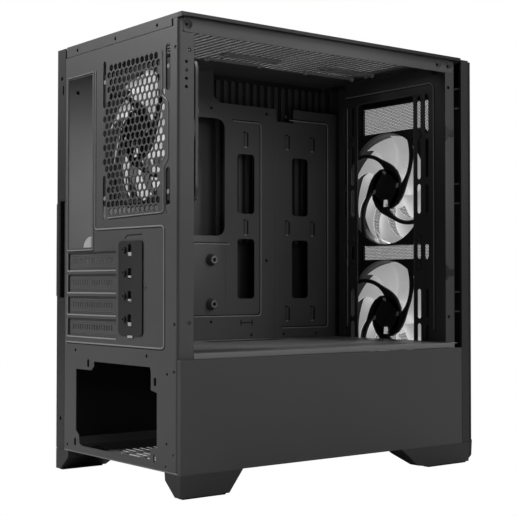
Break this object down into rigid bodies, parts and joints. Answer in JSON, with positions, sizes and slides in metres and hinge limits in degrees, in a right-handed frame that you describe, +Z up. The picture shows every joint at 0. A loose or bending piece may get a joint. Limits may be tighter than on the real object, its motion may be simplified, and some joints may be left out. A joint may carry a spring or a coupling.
{
  "type": "desktop computer tower",
  "caption": "Upright steel computer chassis with an open window side, rear expansion slots, power supply bay, mesh front, turning fans, removable panels and press buttons.",
  "frame": {"origin": "centre of the footprint, on the floor under the foot pads", "axes": "+Z up, -Y out of the mesh front, +Y out of the rear face, -X out of the open window side, +X out of the closed side panel"},
  "size_m": [0.216, 0.3728, 0.401],
  "materials": {
    "chassis_steel": "fine-textured charcoal powder coat",
    "black_steel": "satin black powder coat",
    "foot_plastic": "moulded black, fine grain",
    "bezel_plastic": "moulded charcoal, fine grain",
    "mesh_steel": "black coated perforated sheet",
    "filter_frame": "flexible magnetic strip",
    "filter_mesh": "fine woven nylon mesh",
    "rubber": "matt",
    "screw_steel": "dark zinc",
    "black_plastic": "moulded black",
    "clear_plastic": "natural nylon",
    "fan_frame_plastic": "moulded black",
    "fan_blade_plastic": "frosted translucent white",
    "bronze": "oiled sintered bronze",
    "stator_copper": "enamelled winding on a laminated core",
    "shaft_steel": "ground",
    "button_plastic": "satin black",
    "circuit_board": "solder mask",
    "switch_metal": "stamped tin plate",
    "socket_metal": "nickel plate",
    "socket_plastic": "black insert",
    "light_plastic": "clear light pipe"
  },
  "bodies": {
    "chassis": {"bottom_panel": "chassis_steel", "foot_front_closed_side": "foot_plastic", "foot_front_window_side": "foot_plastic", "foot_pads": "rubber", "foot_rear_closed_side": "foot_plastic", "foot_rear_window_side": "foot_plastic", "front_fan_lower_bearing": "bronze", "front_fan_lower_frame": "fan_frame_plastic", "front_fan_lower_stator": "stator_copper", "front_fan_screws": "screw_steel", "front_fan_upper_bearing": "bronze", "front_fan_upper_frame": "fan_frame_plastic", "front_fan_upper_stator": "stator_copper", "front_frame": "chassis_steel", "motherboard_tray": "chassis_steel", "psu_shroud_top": "chassis_steel", "psu_support_pads": "rubber", "rear_fan_bearing": "bronze", "rear_fan_frame": "fan_frame_plastic", "rear_fan_pins": "clear_plastic", "rear_fan_stator": "stator_copper", "rear_panel": "chassis_steel", "shroud_side_cover": "chassis_steel", "shroud_side_wall": "chassis_steel", "slot_cover_1": "chassis_steel", "slot_cover_2": "chassis_steel", "slot_cover_3": "chassis_steel", "slot_cover_4": "chassis_steel", "slot_screw_plate": "black_steel", "slot_screws": "screw_steel", "top_panel": "chassis_steel", "window_panel_clips": "black_plastic"},
    "side_panel": {"closed_side_panel": "chassis_steel", "side_panel_finger_pull": "black_plastic"},
    "front_panel": {"front_bezel": "bezel_plastic", "front_mesh": "mesh_steel", "control_board": "circuit_board", "control_switches": "switch_metal", "usb_sockets": "socket_metal", "usb_tongues": "socket_plastic", "audio_socket": "socket_plastic", "power_light": "light_plastic"},
    "power_button": {"power_button": "button_plastic"},
    "reset_button": {"reset_button": "button_plastic"},
    "top_filter": {"top_filter_frame": "filter_frame", "top_filter_mesh": "filter_mesh"},
    "rear_fan_rotor": {"rear_fan_impeller": "fan_blade_plastic", "rear_fan_shaft": "shaft_steel"},
    "front_fan_upper_rotor": {"front_fan_upper_impeller": "fan_blade_plastic", "front_fan_upper_shaft": "shaft_steel"},
    "front_fan_lower_rotor": {"front_fan_lower_impeller": "fan_blade_plastic", "front_fan_lower_shaft": "shaft_steel"}
  },
  "joints": [
    {"name": "rear_fan_spin", "type": "hinge", "parent": "chassis", "child": "rear_fan_rotor", "pos_m": [-0.0352, 0.1701, 0.3059], "axis": [0, 1, 0], "continuous": true},
    {"name": "front_fan_upper_spin", "type": "hinge", "parent": "chassis", "child": "front_fan_upper_rotor", "pos_m": [0.003, -0.1623, 0.2779], "axis": [0, 1, 0], "continuous": true},
    {"name": "front_fan_lower_spin", "type": "hinge", "parent": "chassis", "child": "front_fan_lower_rotor", "pos_m": [0.003, -0.1623, 0.1427], "axis": [0, 1, 0], "continuous": true},
    {"name": "side_panel_slide", "type": "slide", "parent": "chassis", "child": "side_panel", "axis": [0, 1, 0], "range_m": [0, 0.38]},
    {"name": "front_panel_pull", "type": "slide", "parent": "chassis", "child": "front_panel", "axis": [0, -1, 0], "range_m": [0, 0.08]},
    {"name": "top_filter_lift", "type": "slide", "parent": "chassis", "child": "top_filter", "axis": [0, 0, 1], "range_m": [0, 0.05]},
    {"name": "power_button_press", "type": "slide", "parent": "front_panel", "child": "power_button", "axis": [0, 0, -1], "range_m": [0, 0.0015], "stiffness_N_per_m": 600},
    {"name": "reset_button_press", "type": "slide", "parent": "front_panel", "child": "reset_button", "axis": [0, 0, -1], "range_m": [0, 0.0015], "stiffness_N_per_m": 400}
  ]
}
